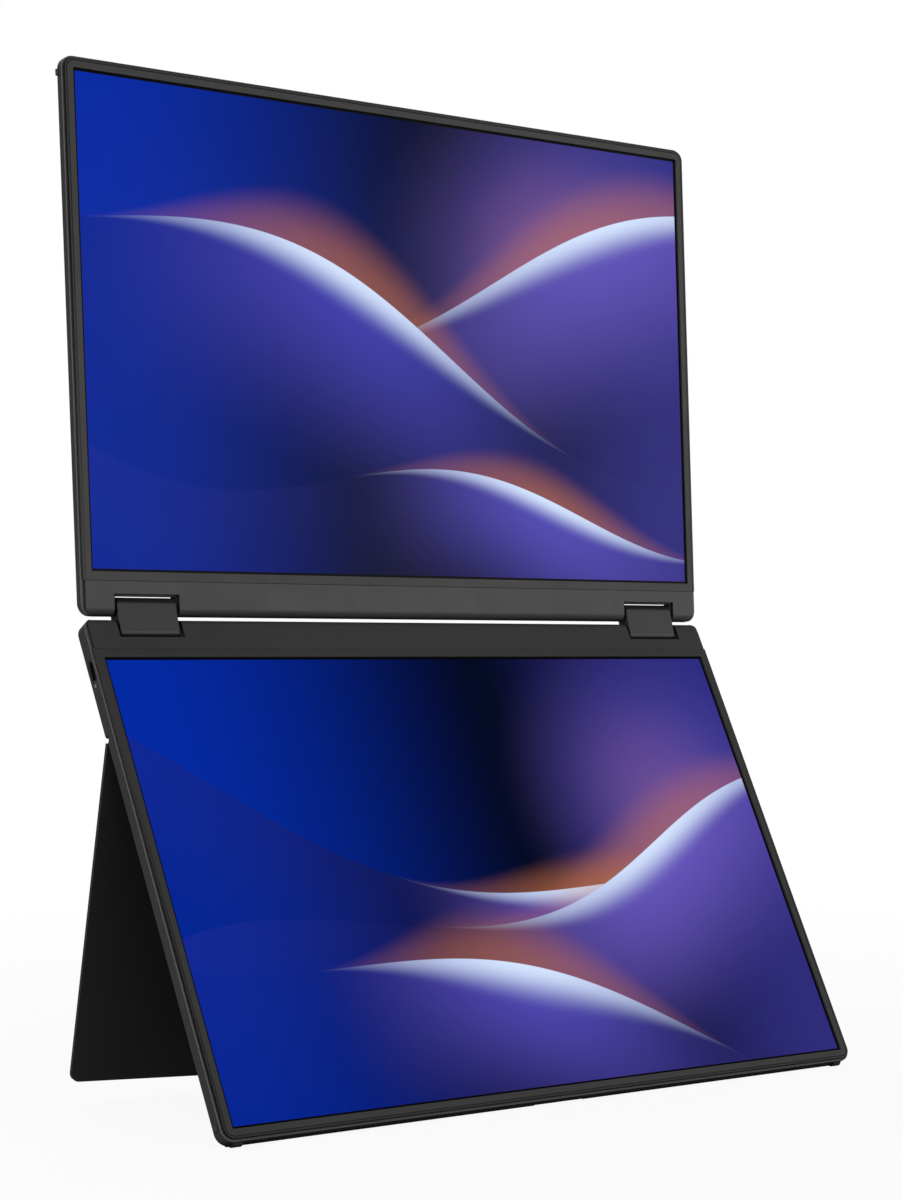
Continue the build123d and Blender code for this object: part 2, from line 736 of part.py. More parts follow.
# Hinges: housing, cap, gears, friction plates, shafts and brackets on each side
block_near = hinge_offset - block_width / 2
block_far = hinge_offset + block_width / 2
gear_near = block_near + cap_thickness + gear_gap
plates_near = gear_near + gear_width + gear_gap
bracket_far = notch_near - notch_wall - bracket_gap
bracket_near = bracket_far - bracket_width
pin_places = {"lower": -pin_spacing / 2, "upper": pin_spacing / 2}
floors = {"lower": deep_floor, "upper": upper_floor}
half_pitch = 180 / idler_teeth
shaft_turns = {"lower": 0, "upper": 180 / shaft_teeth}
for side in sides:
    hand = side_names[side]
    with BuildPart() as hinge_housing:
        place, length = span(link, side, block_near, block_far)
        extrude(block_profile(place), amount=length)
        ends = hinge_housing.faces().filter_by(Axis.X)
        chamfer(ends.edges(), block_bevel)
        place, length = span(link, side, block_near, block_far - block_end_wall)
        extrude(cavity_profile(place, 0), amount=length, mode=Mode.SUBTRACT)
        place, length = span(link, side, block_far - block_end_wall, block_far)
        extrude(shaft_pair(place), amount=length, mode=Mode.SUBTRACT)
    keep(hinge_housing, f"hinge_housing_{hand}")

    with BuildPart() as hinge_cap:
        place, length = span(link, side, block_near, block_near + cap_thickness)
        extrude(cavity_profile(place, slip_gap), amount=length)
        extrude(shaft_pair(place), amount=length, mode=Mode.SUBTRACT)
        for across in (-idler_place, idler_place):
            extrude(disc(place, idler_pin_radius + slip_gap, across), amount=length, mode=Mode.SUBTRACT)
    keep(hinge_cap, f"hinge_cap_{hand}")

    with BuildPart() as idler_pins:
        place, length = span(link, side, block_near, gear_near + gear_width)
        for across in (-idler_place, idler_place):
            extrude(disc(place, idler_pin_radius, across), amount=length)
    keep(idler_pins, f"idler_pins_{hand}")

    with BuildPart() as friction_plates:
        for step in range(plate_count):
            start = plates_near + step * plate_pitch
            place, length = span(link, side, start, start + plate_thickness)
            extrude(friction_profile(place), amount=length)
    keep(friction_plates, f"friction_plates_{hand}")

    idlers = (("lower", -idler_place, half_pitch), ("upper", idler_place, 0))
    for name, across, turn in idlers:
        with BuildPart() as idler_gear:
            place, length = span(link, side, gear_near, gear_near + gear_width)
            extrude(gear_profile(place, across, idler_teeth, turn), amount=length)
            bore = disc(place, idler_pin_radius + slip_gap, across)
            extrude(bore, amount=length, mode=Mode.SUBTRACT)
        keep(idler_gear, f"{name}_idler_gear_{hand}")

    for name, frame, bumper_level in screens:
        with BuildPart() as hinge_shaft:
            place, length = span(frame, side, bracket_near, notch_far + notch_wall + shaft_tail)
            extrude(disc(place, shaft_radius), amount=length)
            place, length = span(link, side, gear_near, gear_near + gear_width)
            teeth = gear_profile(place, pin_places[name], shaft_teeth, shaft_turns[name])
            extrude(teeth, amount=length)
            place, length = span(frame, side, bracket_near, bracket_far)
            extrude(flat_profile(place), amount=length, mode=Mode.SUBTRACT)
        keep(hinge_shaft, f"{name}_hinge_shaft_{hand}")

        with BuildPart() as hinge_bracket:
            extrude(bracket_profile(place, floors[name]), amount=length)
            holes = screw_holes(frame, floors[name] + screw_bite, screw_places(frame, side))
            extrude(holes, amount=bracket_leaf, mode=Mode.SUBTRACT)
        keep(hinge_bracket, f"{name}_hinge_bracket_{hand}")

for name, frame, bumper_level in screens:
    places = [place for side in sides for place in screw_places(frame, side)]
    keep(screws(frame, floors[name], bracket_leaf, places), f"{name}_bracket_screws")

# Stand: plate with its barrel, pins, hinge leaves and rubber foot
pin_bite = stand_leaf_width / 2 + stand_leaf_gap + stand_pin_bite
barrel_gap = stand_leaf_width + 2 * stand_leaf_gap
with BuildPart() as stand_plate:
    extrude(stand_outline(stand, -stand_barrel_radius, 0), amount=stand_thickness)
    extrude(disc(cross_plane(stand, -stand_width / 2), stand_barrel_radius), amount=stand_width)
    foot_slot = slab(stand, -stand_barrel_radius, stand_foot_width, stand_reach - stand_foot_depth,
                     stand_reach + overrun)
    extrude(foot_slot, amount=stand_thickness, mode=Mode.SUBTRACT)
    for sign in sides:
        middle = sign * stand_leaf_offset
        gap = slab(stand, -stand_barrel_radius - overrun, barrel_gap, -stand_relief, stand_relief,
                   middle=middle)
        extrude(gap, amount=2 * (stand_barrel_radius + overrun), mode=Mode.SUBTRACT)
        bore = disc(cross_plane(stand, middle - pin_bite), stand_pin_radius + slip_gap)
        extrude(bore, amount=2 * pin_bite, mode=Mode.SUBTRACT)
        # The barrel stops short of the plate's ends
        end_width = stand_end_setback + overrun
        end_middle = sign * (stand_width / 2 + overrun - end_width / 2)
        end_cut = slab(stand, -stand_barrel_radius - overrun, end_width, -stand_relief, stand_relief,
                       middle=end_middle)
        extrude(end_cut, amount=2 * (stand_barrel_radius + overrun), mode=Mode.SUBTRACT)
keep(stand_plate, "stand_plate")

with BuildPart() as stand_pins:
    for sign in sides:
        place = cross_plane(stand, sign * stand_leaf_offset - pin_bite)
        extrude(disc(place, stand_pin_radius), amount=2 * pin_bite)
keep(stand_pins, "stand_pins")

with BuildPart() as stand_foot:
    with BuildSketch(cross_plane(stand, -stand_foot_width / 2)):
        with Locations((stand_reach, stand_middle_w)):
            Circle(stand_round)
        with Locations((stand_reach - stand_foot_depth / 2, stand_middle_w)):
            Rectangle(stand_foot_depth, stand_thickness)
    extrude(amount=stand_foot_width)
keep(stand_foot, "stand_foot")

with BuildPart() as stand_leaves:
    for sign in sides:
        middle = sign * stand_leaf_offset
        place = cross_plane(stand_seat, middle - stand_leaf_width / 2)
        extrude(disc(place, stand_barrel_radius), amount=stand_leaf_width)
        leaf = slab(lower, deep_floor, stand_leaf_width, stand_axis_v - stand_leaf_reach, stand_axis_v,
                    middle=middle)
        extrude(leaf, amount=stand_leaf_thickness)
        extrude(disc(place, stand_pin_radius + slip_gap), amount=stand_leaf_width, mode=Mode.SUBTRACT)
    holes = screw_holes(lower, deep_floor + screw_bite, leaf_screws)
    extrude(holes, amount=stand_leaf_thickness, mode=Mode.SUBTRACT)
keep(stand_leaves, "stand_leaves")
keep(screws(lower, deep_floor, stand_leaf_thickness, leaf_screws), "stand_leaf_screws")

# Sockets on the lower screen's sides
mouth_u = panel_width / 2 - socket_setback
for name, side, outline, width, height, place_v in socket_places:
    with BuildPart() as socket:
        place, length = span(lower, side, mouth_u - socket_depth, mouth_u)
        extrude(outline(place, width, height, place_v, socket_level), amount=length)
        place, length = span(lower, side, mouth_u - socket_depth + socket_wall, mouth_u)
        hollow = outline(place, width - 2 * socket_wall, height - 2 * socket_wall, place_v, socket_level)
        extrude(hollow, amount=length, mode=Mode.SUBTRACT)
    keep(socket, name)

with BuildPart() as socket_tongues:
    for name, side, outline, width, height, place_v in socket_places:
        tongue_back = mouth_u - socket_depth + socket_wall
        place, length = span(lower, side, tongue_back, mouth_u - socket_tongue_setback)
        tongue_width = width - 2 * socket_tongue_margin
        with BuildSketch(place):
            with Locations((place_v, socket_level)):
                Rectangle(tongue_width, socket_tongue)
        extrude(amount=length)
keep(socket_tongues, "socket_tongues")

with BuildPart() as status_light:
    place, length = span(lower, -1, pipe_inner, panel_width / 2)
    extrude(disc(place, light_radius, light_v, light_level), amount=length)
    place, length = span(lower, -1, pipe_inner - light_flange, pipe_inner)
    extrude(disc(place, light_radius + light_flange, light_v, light_level), amount=length)
keep(status_light, "status_light")

# Buttons on the lower screen's right side
button_stop = inner_width / 2 - ledge_width - slip_gap
for name, place_v in zip(button_names, button_places_v):
    with BuildPart() as button:
        place, length = span(lower, 1, button_stop, panel_width / 2 + button_rise)
        cap_round = button_height / 2 - fit_gap
        cap = oblong(place, button_length, button_height, cap_round, place_v, button_level)
        extrude(cap, amount=length)
        place, length = span(lower, 1, button_stop - button_flange_thickness, button_stop)
        flange = oblong(place, button_length + 2 * button_flange, button_height + 2 * button_flange,
                        bezel_corner, place_v, button_level)
        extrude(flange, amount=length)
    keep(button, name)

# Boards with their shields and switches
with BuildPart() as main_board:
    middle = main_sign * (main_board_inner + board_outer) / 2
    board = slab(lower, board_bottom, board_outer - main_board_inner, board_low_v, main_board_high_v,
                 middle=middle)
    extrude(board, amount=board_thickness)
    for (width, height), (along_share, up_share) in zip(chip_sizes, chip_place_shares):
        u = main_sign * (main_board_inner + (board_outer - main_board_inner) * along_share)
        v = board_low_v + (main_board_high_v - board_low_v) * up_share
        chip = slab(lower, board_bottom + board_thickness, width, v - height / 2, v + height / 2,
                    middle=u)
        extrude(chip, amount=chip_height)
    extrude(socket_relief(-1, usb_width, usb_v), amount=board_thickness, mode=Mode.SUBTRACT)
    extrude(light_relief(), amount=board_thickness + chip_height, mode=Mode.SUBTRACT)
keep(main_board, "main_board")

with BuildPart() as port_board:
    middle = port_sign * (port_board_inner + board_outer) / 2
    board = slab(lower, board_bottom, board_outer - port_board_inner, board_low_v, port_board_high_v,
                 middle=middle)
    extrude(board, amount=board_thickness)
    for width, place_v in ((usb_width, usb_v), (hdmi_width, hdmi_v)):
        extrude(socket_relief(1, width, place_v), amount=board_thickness, mode=Mode.SUBTRACT)
keep(port_board, "port_board")

with BuildPart() as key_board:
    switch_face = button_stop - button_flange_thickness - button_travel - slip_gap
    middle = port_sign * (switch_face - key_board_width / 2)
    key_board_high_v = key_board_low_v + key_board_length
    board = slab(lower, stand_floor, key_board_width, key_board_low_v, key_board_high_v, middle=middle)
    extrude(board, amount=board_thickness)
    for place_v in button_places_v:
        middle = port_sign * (switch_face - switch_size / 2)
        switch = slab(lower, stand_floor + board_thickness, switch_size, place_v - switch_size / 2,
                      place_v + switch_size / 2, middle=middle)
        extrude(switch, amount=button_level + button_height / 2 - stand_floor - board_thickness)
keep(key_board, "key_board")

with BuildPart() as driver_board:
    board = slab(upper, upper_floor, driver_board_width, driver_board_low_v,
                 driver_board_low_v + driver_board_depth)
    extrude(board, amount=board_thickness)
    for (width, height), (along_share, up_share) in zip(chip_sizes, chip_place_shares):
        u = driver_board_width * (along_share - 1 / 2)
        v = driver_board_low_v + driver_board_depth / 2
        chip = slab(upper, upper_floor + board_thickness, width, v - height / 4, v + height / 4, middle=u)
        extrude(chip, amount=driver_chip_height)
keep(driver_board, "driver_board")

# Threaded insert of the tripod socket
with BuildPart() as tripod_insert:
    insert_mouth = lower.offset(lower_back)
    extrude(disc(insert_mouth, insert_radius, 0, insert_v), amount=insert_depth)
    extrude(disc(insert_mouth, insert_bore, 0, insert_v), amount=insert_depth, mode=Mode.SUBTRACT)
keep(tripod_insert, "tripod_insert")
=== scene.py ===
import json
from math import cos, pi, radians, sin
from typing import NamedTuple

import bpy
from bpy.props import FloatProperty, FloatVectorProperty, PointerProperty
from bpy.types import Operator, Panel, PropertyGroup
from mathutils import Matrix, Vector

bl_info = {
    "name": "Dual portable monitor",
    "version": (1, 0, 0),
    "blender": (4, 5, 0),
    "location": "View3D > Sidebar > Monitor",
    "description": "Finishes, screen pictures and studio for a two-screen portable monitor",
    "category": "Object",
}

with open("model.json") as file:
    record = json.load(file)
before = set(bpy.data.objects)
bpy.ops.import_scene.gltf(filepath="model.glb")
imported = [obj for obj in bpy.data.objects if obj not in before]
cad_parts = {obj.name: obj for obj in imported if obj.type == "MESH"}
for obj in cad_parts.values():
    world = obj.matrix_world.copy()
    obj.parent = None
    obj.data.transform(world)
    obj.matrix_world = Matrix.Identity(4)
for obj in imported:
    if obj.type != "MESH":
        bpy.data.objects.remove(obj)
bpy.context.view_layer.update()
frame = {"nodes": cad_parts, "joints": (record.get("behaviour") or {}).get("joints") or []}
nodes = frame["nodes"]
joints = {joint["name"]: joint for joint in frame["joints"]}


class Screen(NamedTuple):
    """Where a screen's hinge pin runs, the way along the screen from it, and the way out of the front."""
    pin: Vector
    along: Vector
    outward: Vector


class Finish(NamedTuple):
    """Material of a finished surface, and its parts that take more detail."""
    material: bpy.types.Material
    tree: bpy.types.NodeTree
    shader: bpy.types.Node
    tone: bpy.types.NodeSocket
    rough: bpy.types.NodeSocket


class Glow(NamedTuple):
    """Haze in the sky of a picture, placed from its lower left corner; lengths in picture widths."""
    across: float
    up: float
    reach: float
    haze_share: float
    warm_share: float


class Ridge(NamedTuple):
    """Rolling line of a picture, leaning by some degrees and lit along a part; lengths in picture widths."""
    lean: float
    level: float
    swing: float
    turns: float
    phase: float
    fade: float
    crest_width: float
    hue: float
    light_middle: float
    light_reach: float


MM = 0.001
WHITE = (1.0, 1.0, 1.0, 1.0)
BLACK = (0.0, 0.0, 0.0, 1.0)
BRASS = (0.62, 0.44, 0.16)
RIGHT = Vector((1, 0, 0))

# How far each screen leans back from upright
LOWER_LEAN = radians(28.48)
UPPER_LEAN = radians(3.11)
LOWER = Screen(pin=Vector(joints["lower_fold"]["pos_m"]),
               along=Vector((0, -sin(LOWER_LEAN), -cos(LOWER_LEAN))),
               outward=Vector((0, -cos(LOWER_LEAN), sin(LOWER_LEAN))))
UPPER = Screen(pin=Vector(joints["upper_fold"]["pos_m"]),
               along=Vector((0, sin(UPPER_LEAN), cos(UPPER_LEAN))),
               outward=Vector((0, -cos(UPPER_LEAN), sin(UPPER_LEAN))))

# Size of a lit picture, and how far from the hinge pin it starts
PICTURE_WIDTH = 301.6 * MM
PICTURE_HEIGHT = 188.5 * MM
PICTURE_START = 14.9 * MM

# Outline of a bezel and front of the rim, from the hinge pin, and the width of the bezel's border of painted shade
BEZEL_HALF_WIDTH = 155.4 * MM
BEZEL_FAR_END = 208.0 * MM
BEZEL_ROUND = 4.2 * MM
BEZEL_BORDER = 0.95 * MM
RIM_FRONT = 2.25 * MM

# Middle of the hinge blocks, the way up along them, and where the shade on their rolled top starts and is full
BLOCK_MIDDLE = (LOWER.pin + UPPER.pin) / 2
BLOCK_LEAN = (LOWER_LEAN + UPPER_LEAN) / 2
BLOCK_UP = Vector((0, sin(BLOCK_LEAN), cos(BLOCK_LEAN)))
BLOCK_SHADE_START = 4.7 * MM
BLOCK_SHADE_FULL = 6.0 * MM

# Reach of the painted shade in the gaps, and the pitch of the tripod thread
GAP_REACH = 4 * MM
THREAD_PITCH = 1.27 * MM

# Softness of the edges in a picture, in picture widths
PICTURE_SOFT = 0.0006

# Width of the camera's sensor in millimetres, and the point that the lights look at
SENSOR_WIDTH = 36
LIT_POINT = (0, 0, 0.2)


def colour_setting(name, description, default):
    return FloatVectorProperty(name=name, description=description, subtype="COLOR", size=3, min=0, max=1,
                               default=default)


def power_setting(name, description, default):
    return FloatProperty(name=name, description=description, default=default, min=0, subtype="POWER",
                         unit="POWER")


class CaseFinish(PropertyGroup):
    """Colours and grain of the case, stand and hinges."""
    case: colour_setting("Case", "Back covers and their rims", (0.03, 0.0295, 0.029))
    # Colour of the highlight painted along the rims' front edge
    rim: colour_setting("Rim edge", "Front edge of the back covers' rims", (0.12, 0.12, 0.12))
    bezel: colour_setting("Bezel", "Frame around the picture", (0.0305, 0.0294, 0.0284))
    chin: colour_setting("Chin strip", "Strip along the hinge edge", (0.0325, 0.0325, 0.0325))
    hinge: colour_setting("Hinge cover", "Blocks over the hinge gears", (0.031, 0.031, 0.031))
    stand: colour_setting("Stand", "Folding plate at the back", (0.023, 0.023, 0.0232))
    rubber: colour_setting("Rubber", "Feet and bumpers", (0.034, 0.034, 0.034))
    grain: FloatProperty(name="Grain size", description="Distance between bumps of the blasted finish",
                         default=0.0003, min=0.00005, unit="LENGTH")
    edge: FloatProperty(name="Edge width", description="Width of the softened edges", default=0.00025,
                        min=0, unit="LENGTH")


class PictureDesign(PropertyGroup):
    """Colours and brightness of the pictures on the screens."""
    night: colour_setting("Night", "Blue of the open sky", (0.0, 0.022, 0.36))
    dark: colour_setting("Dark", "Darkest part of the sky and the ridges' feet", (0.0, 0.0015, 0.012))
    violet: colour_setting("Violet", "Haze on the ridges", (0.15, 0.1, 0.52))
    crest: colour_setting("Crest", "Light along the ridge lines", (0.66, 0.78, 1.0))
    warm: colour_setting("Warm", "Glow behind the ridges", (0.5, 0.16, 0.07))
    strength: FloatProperty(name="Brightness", description="Strength of the lit picture", default=1.0, min=0)


class StudioSetup(PropertyGroup):
    """Floor, lights and camera."""
    floor: colour_setting("Floor", "Pale floor", (0.86, 0.86, 0.86))
    sky_power: FloatProperty(name="Sky light", description="Strength of the even white light all around",
                             default=0.25, min=0)
    key_power: power_setting("Key light", "Large soft light in front on the right", 33.0)
    fill_power: power_setting("Fill light", "Soft light in front on the left", 8.4)
    rim_power: power_setting("Rim light", "Light that draws the left sides and edges", 12.5)
    top_power: power_setting("Top light", "Soft light from above and behind", 14.0)
    camera_place: FloatVectorProperty(name="Camera place", description="Where the camera stands",
                                      default=(-0.615275, -0.816342, 0.175967), subtype="XYZ", unit="LENGTH")
    camera_turn: FloatProperty(name="Camera turn", description="Turn of the view from straight ahead to the right",
                               default=radians(36.452), subtype="ANGLE")
    camera_tilt: FloatProperty(name="Camera tilt", description="Tilt of the view below level",
                               default=radians(4.443), subtype="ANGLE")
    lens: FloatProperty(name="Lens", description="Focal length in millimetres on a 36 mm frame", default=75.61)
    shift: FloatProperty(name="Lens shift", description="Upward shift of the frame", default=0.2072)


def put(tree, kind, inputs=None, **settings):
    """New node with its settings, its inputs linked or set."""
    node = tree.nodes.new(kind)
    for name, value in settings.items():
        setattr(node, name, value)
    for key, value in (inputs or {}).items():
        if isinstance(value, bpy.types.NodeSocket):
            tree.links.new(value, node.inputs[key])
        else:
            node.inputs[key].default_value = value
    return node


def maths(tree, operation, first, second=0.0, third=0.0, clamp=False):
    """Output of a Math node."""
    node = put(tree, "ShaderNodeMath", {0: first, 1: second, 2: third}, operation=operation, use_clamp=clamp)
    return node.outputs[0]


def mixed(tree, factor, first, second):
    """Output of a colour Mix node."""
    node = put(tree, "ShaderNodeMix", {0: factor, 6: first, 7: second}, data_type="RGBA")
    return node.outputs[2]


def ramped(tree, value, low, high, to_low=0.0, to_high=1.0):
    """Value carried smoothly from one range to another, held at both ends."""
    node = put(tree, "ShaderNodeMapRange", {0: value, 1: low, 2: high, 3: to_low, 4: to_high},
               interpolation_type="SMOOTHSTEP", clamp=True)
    return node.outputs[0]


def between(tree, value, low, high, soft):
    """Mask that is one between two limits."""
    rise = ramped(tree, value, low - soft, low + soft)
    fall = ramped(tree, value, high + soft, high - soft)
    return maths(tree, "MULTIPLY", rise, fall)


def lessened(tree, mask, share):
    """One, less a share of a mask."""
    return maths(tree, "MULTIPLY_ADD", mask, -share, 1.0)


def scaled(tree, colour, factor):
    """Colour times a value."""
    return put(tree, "ShaderNodeVectorMath", {0: colour, "Scale": factor}, operation="SCALE").outputs[0]


def object_place(tree):
    """Place of the shaded point on its object."""
    return put(tree, "ShaderNodeTexCoord").outputs["Object"]


def camera_ray(tree):
    """Mask that is one for what the camera sees directly."""
    return put(tree, "ShaderNodeLightPath").outputs["Is Camera Ray"]


def dotted(tree, vector, direction, offset=0.0):
    """Length of a vector along a direction, less an offset."""
    node = put(tree, "ShaderNodeVectorMath", {0: vector, 1: tuple(direction)}, operation="DOT_PRODUCT")
    return maths(tree, "SUBTRACT", node.outputs["Value"], offset)


def from_point(tree, place, direction, point, offset=0.0):
    """How far a place lies along a direction from a point, less an offset."""
    return dotted(tree, place, direction, direction.dot(point) + offset)


def rgba(colour, scale=1.0):
    return (colour[0] * scale, colour[1] * scale, colour[2] * scale, 1.0)


def blended(first, second, share):
    return tuple(a + (b - a) * share for a, b in zip(first, second))


def new_group(name, inputs, outputs):
    """Empty shader node group with its sockets."""
    tree = bpy.data.node_groups.new(name, "ShaderNodeTree")
    for socket, kind, default in inputs:
        made = tree.interface.new_socket(socket, in_out="INPUT", socket_type=kind)
        if default is not None:
            made.default_value = default
    for socket, kind in outputs:
        tree.interface.new_socket(socket, in_out="OUTPUT", socket_type=kind)
    return tree, tree.nodes.new("NodeGroupInput"), tree.nodes.new("NodeGroupOutput")


def grain_group():
    """Fine blasted or moulded grain with soft clouds: shade, roughness change and height."""
    name = "surface grain"
    if name in bpy.data.node_groups:
        return bpy.data.node_groups[name]
    speck_shade, haze_shade = 0.5, 0.35
    speck_rough, touch_rough = 0.06, 0.16
    tree, source, result = new_group(
        name, [("Grain Size", "NodeSocketFloat", 0.0003), ("Streak", "NodeSocketFloat", 1.0)],
        [("Shade", "NodeSocketFloat"), ("Roughness", "NodeSocketFloat"), ("Height", "NodeSocketFloat")])
    place = object_place(tree)
    stretch = put(tree, "ShaderNodeCombineXYZ", {0: source.outputs["Streak"], 1: 1.0, 2: 1.0})
    drawn = put(tree, "ShaderNodeVectorMath", {0: place, 1: stretch.outputs[0]}, operation="MULTIPLY")
    fine_scale = maths(tree, "DIVIDE", 1.0, source.outputs["Grain Size"])
    fine = put(tree, "ShaderNodeTexNoise",
               {"Vector": drawn.outputs[0], "Scale": fine_scale, "Detail": 2.0, "Roughness": 0.6})
    cloud = put(tree, "ShaderNodeTexNoise", {"Vector": place, "Scale": 18.0, "Detail": 3.0, "Roughness": 0.55})
    handled = put(tree, "ShaderNodeTexNoise",
                  {"Vector": place, "Scale": 55.0, "Detail": 4.0, "Roughness": 0.6, "Distortion": 0.8})
    speck, haze, touch = (maths(tree, "SUBTRACT", noise.outputs["Fac"], 0.5) for noise in (fine, cloud, handled))
    shade = maths(tree, "MULTIPLY_ADD", speck, speck_shade, maths(tree, "MULTIPLY_ADD", haze, haze_shade, 1.0))
    rough = maths(tree, "MULTIPLY_ADD", touch, touch_rough, maths(tree, "MULTIPLY", speck, speck_rough))
    tree.links.new(shade, result.inputs["Shade"])
    tree.links.new(rough, result.inputs["Roughness"])
    tree.links.new(fine.outputs["Fac"], result.inputs["Height"])
    return tree


def edge_group():
    """Softened edges and gaps for painted shade: a normal that rounds the edges, and a mask of each."""
    name = "soft edges"
    if name in bpy.data.node_groups:
        return bpy.data.node_groups[name]
    tree, source, result = new_group(
        name, [("Width", "NodeSocketFloat", 0.00025)],
        [("Normal", "NodeSocketVector"), ("Edge", "NodeSocketFloat"), ("Gap", "NodeSocketFloat")])
    rounded = put(tree, "ShaderNodeBevel", {"Radius": source.outputs["Width"]}, samples=6)
    flat = put(tree, "ShaderNodeNewGeometry")
    facing = put(tree, "ShaderNodeVectorMath", {0: rounded.outputs[0], 1: flat.outputs["Normal"]},
                 operation="DOT_PRODUCT")
    # Mask of the edges, for lighter edges as wear and as a painted highlight
    edge = ramped(tree, facing.outputs["Value"], low=0.995, high=0.8)
    # Mask of the gaps, from occlusion, for painted shade
    hidden = put(tree, "ShaderNodeAmbientOcclusion", {"Distance": GAP_REACH}, samples=8)
    gap = ramped(tree, hidden.outputs["AO"], low=0.8, high=0.3)
    tree.links.new(rounded.outputs[0], result.inputs["Normal"])
    tree.links.new(edge, result.inputs["Edge"])
    tree.links.new(gap, result.inputs["Gap"])
    return tree


def fresh_material(name):
    """New node material with only its shader and output."""
    material = bpy.data.materials.new(name)
    material.use_nodes = True
    tree = material.node_tree
    tree.nodes.clear()
    shader = tree.nodes.new("ShaderNodeBsdfPrincipled")
    output = tree.nodes.new("ShaderNodeOutputMaterial")
    tree.links.new(shader.outputs[0], output.inputs["Surface"])
    return material, tree, shader


def finished_surface(name, colour, roughness, grain, edge_width, bump=0.08, metallic=0.0, streak=1.0,
                     edge_wear_and_highlight=0.5, specular=0.28, gap_shade=0.94):
    """Grained, lightly worn surface with a painted highlight on its edges, and painted shade and more roughness in
    its gaps.
    """
    gap_rough = 0.35
    bump_depth = grain * 0.3
    material, tree, shader = fresh_material(name)
    surface = put(tree, "ShaderNodeGroup", node_tree=grain_group())
    surface.inputs["Grain Size"].default_value = grain
    surface.inputs["Streak"].default_value = streak
    edges = put(tree, "ShaderNodeGroup", node_tree=edge_group())
    edges.inputs["Width"].default_value = edge_width
    gap = edges.outputs["Gap"]
    # Lighter edges, as wear and as a painted highlight
    grain_wear_and_painted_light = maths(tree, "MULTIPLY_ADD", edges.outputs["Edge"], edge_wear_and_highlight, surface.outputs["Shade"])
    # Painted shade: darker in the gaps
    grain_wear_and_painted_light = maths(tree, "MULTIPLY", grain_wear_and_painted_light, lessened(tree, gap, gap_shade))
    tone = scaled(tree, colour, grain_wear_and_painted_light)
    rough = maths(tree, "MULTIPLY_ADD", gap, gap_rough, surface.outputs["Roughness"])
    rough = maths(tree, "ADD", rough, roughness, clamp=True)
    height = put(tree, "ShaderNodeBump", {"Height": surface.outputs["Height"], "Normal": edges.outputs["Normal"],
                                          "Strength": bump, "Distance": bump_depth})
    tree.links.new(tone, shader.inputs["Base Color"])
    tree.links.new(rough, shader.inputs["Roughness"])
    tree.links.new(height.outputs[0], shader.inputs["Normal"])
    shader.inputs["Metallic"].default_value = metallic
    shader.inputs["Specular IOR Level"].default_value = specular
    return Finish(material, tree, shader, tone, rough)


def dress(names, material):
    """Give CAD nodes their material."""
    for name in names:
        slots = nodes[name].data.materials
        slots.clear()
        slots.append(material)


def both_sides(*names):
    return [f"{name}_{side}" for name in names for side in ("left", "right")]


def both_screens(*names):
    return [f"{screen}_{name}" for name in names for screen in ("lower", "upper")]


def rimmed_case(name, look, screen):
    """Back cover with a highlight painted along the front edge of its rim."""
    bevel_share, front_share = 0.8, 0.25
    outer_start, outer_full = 2 * MM, 1 * MM
    case = finished_surface(name, look.case, roughness=0.52, grain=look.grain, edge_width=look.edge, edge_wear_and_highlight=1.4)
    tree = case.tree
    place = object_place(tree)
    level = from_point(tree, place, screen.outward, screen.pin, RIM_FRONT)
    # Painted highlight on the rim's bevel and front, only near the outer edge
    bevel = between(tree, level, low=-0.35 * MM, high=-0.07 * MM, soft=0.05 * MM)
    front = between(tree, level, low=-0.04 * MM, high=0.1 * MM, soft=0.03 * MM)
    line = maths(tree, "MULTIPLY_ADD", bevel, bevel_share, maths(tree, "MULTIPLY", front, front_share))
    across = maths(tree, "ABSOLUTE", dotted(tree, place, RIGHT))
    far = from_point(tree, place, screen.along, screen.pin)
    at_side = ramped(tree, across, BEZEL_HALF_WIDTH - outer_start, BEZEL_HALF_WIDTH - outer_full)
    at_end = ramped(tree, far, BEZEL_FAR_END - outer_start, BEZEL_FAR_END - outer_full)
    line = maths(tree, "MULTIPLY", line, maths(tree, "MAXIMUM", at_side, at_end))
    tree.links.new(mixed(tree, line, case.tone, rgba(look.rim)), case.shader.inputs["Base Color"])
    return case.material


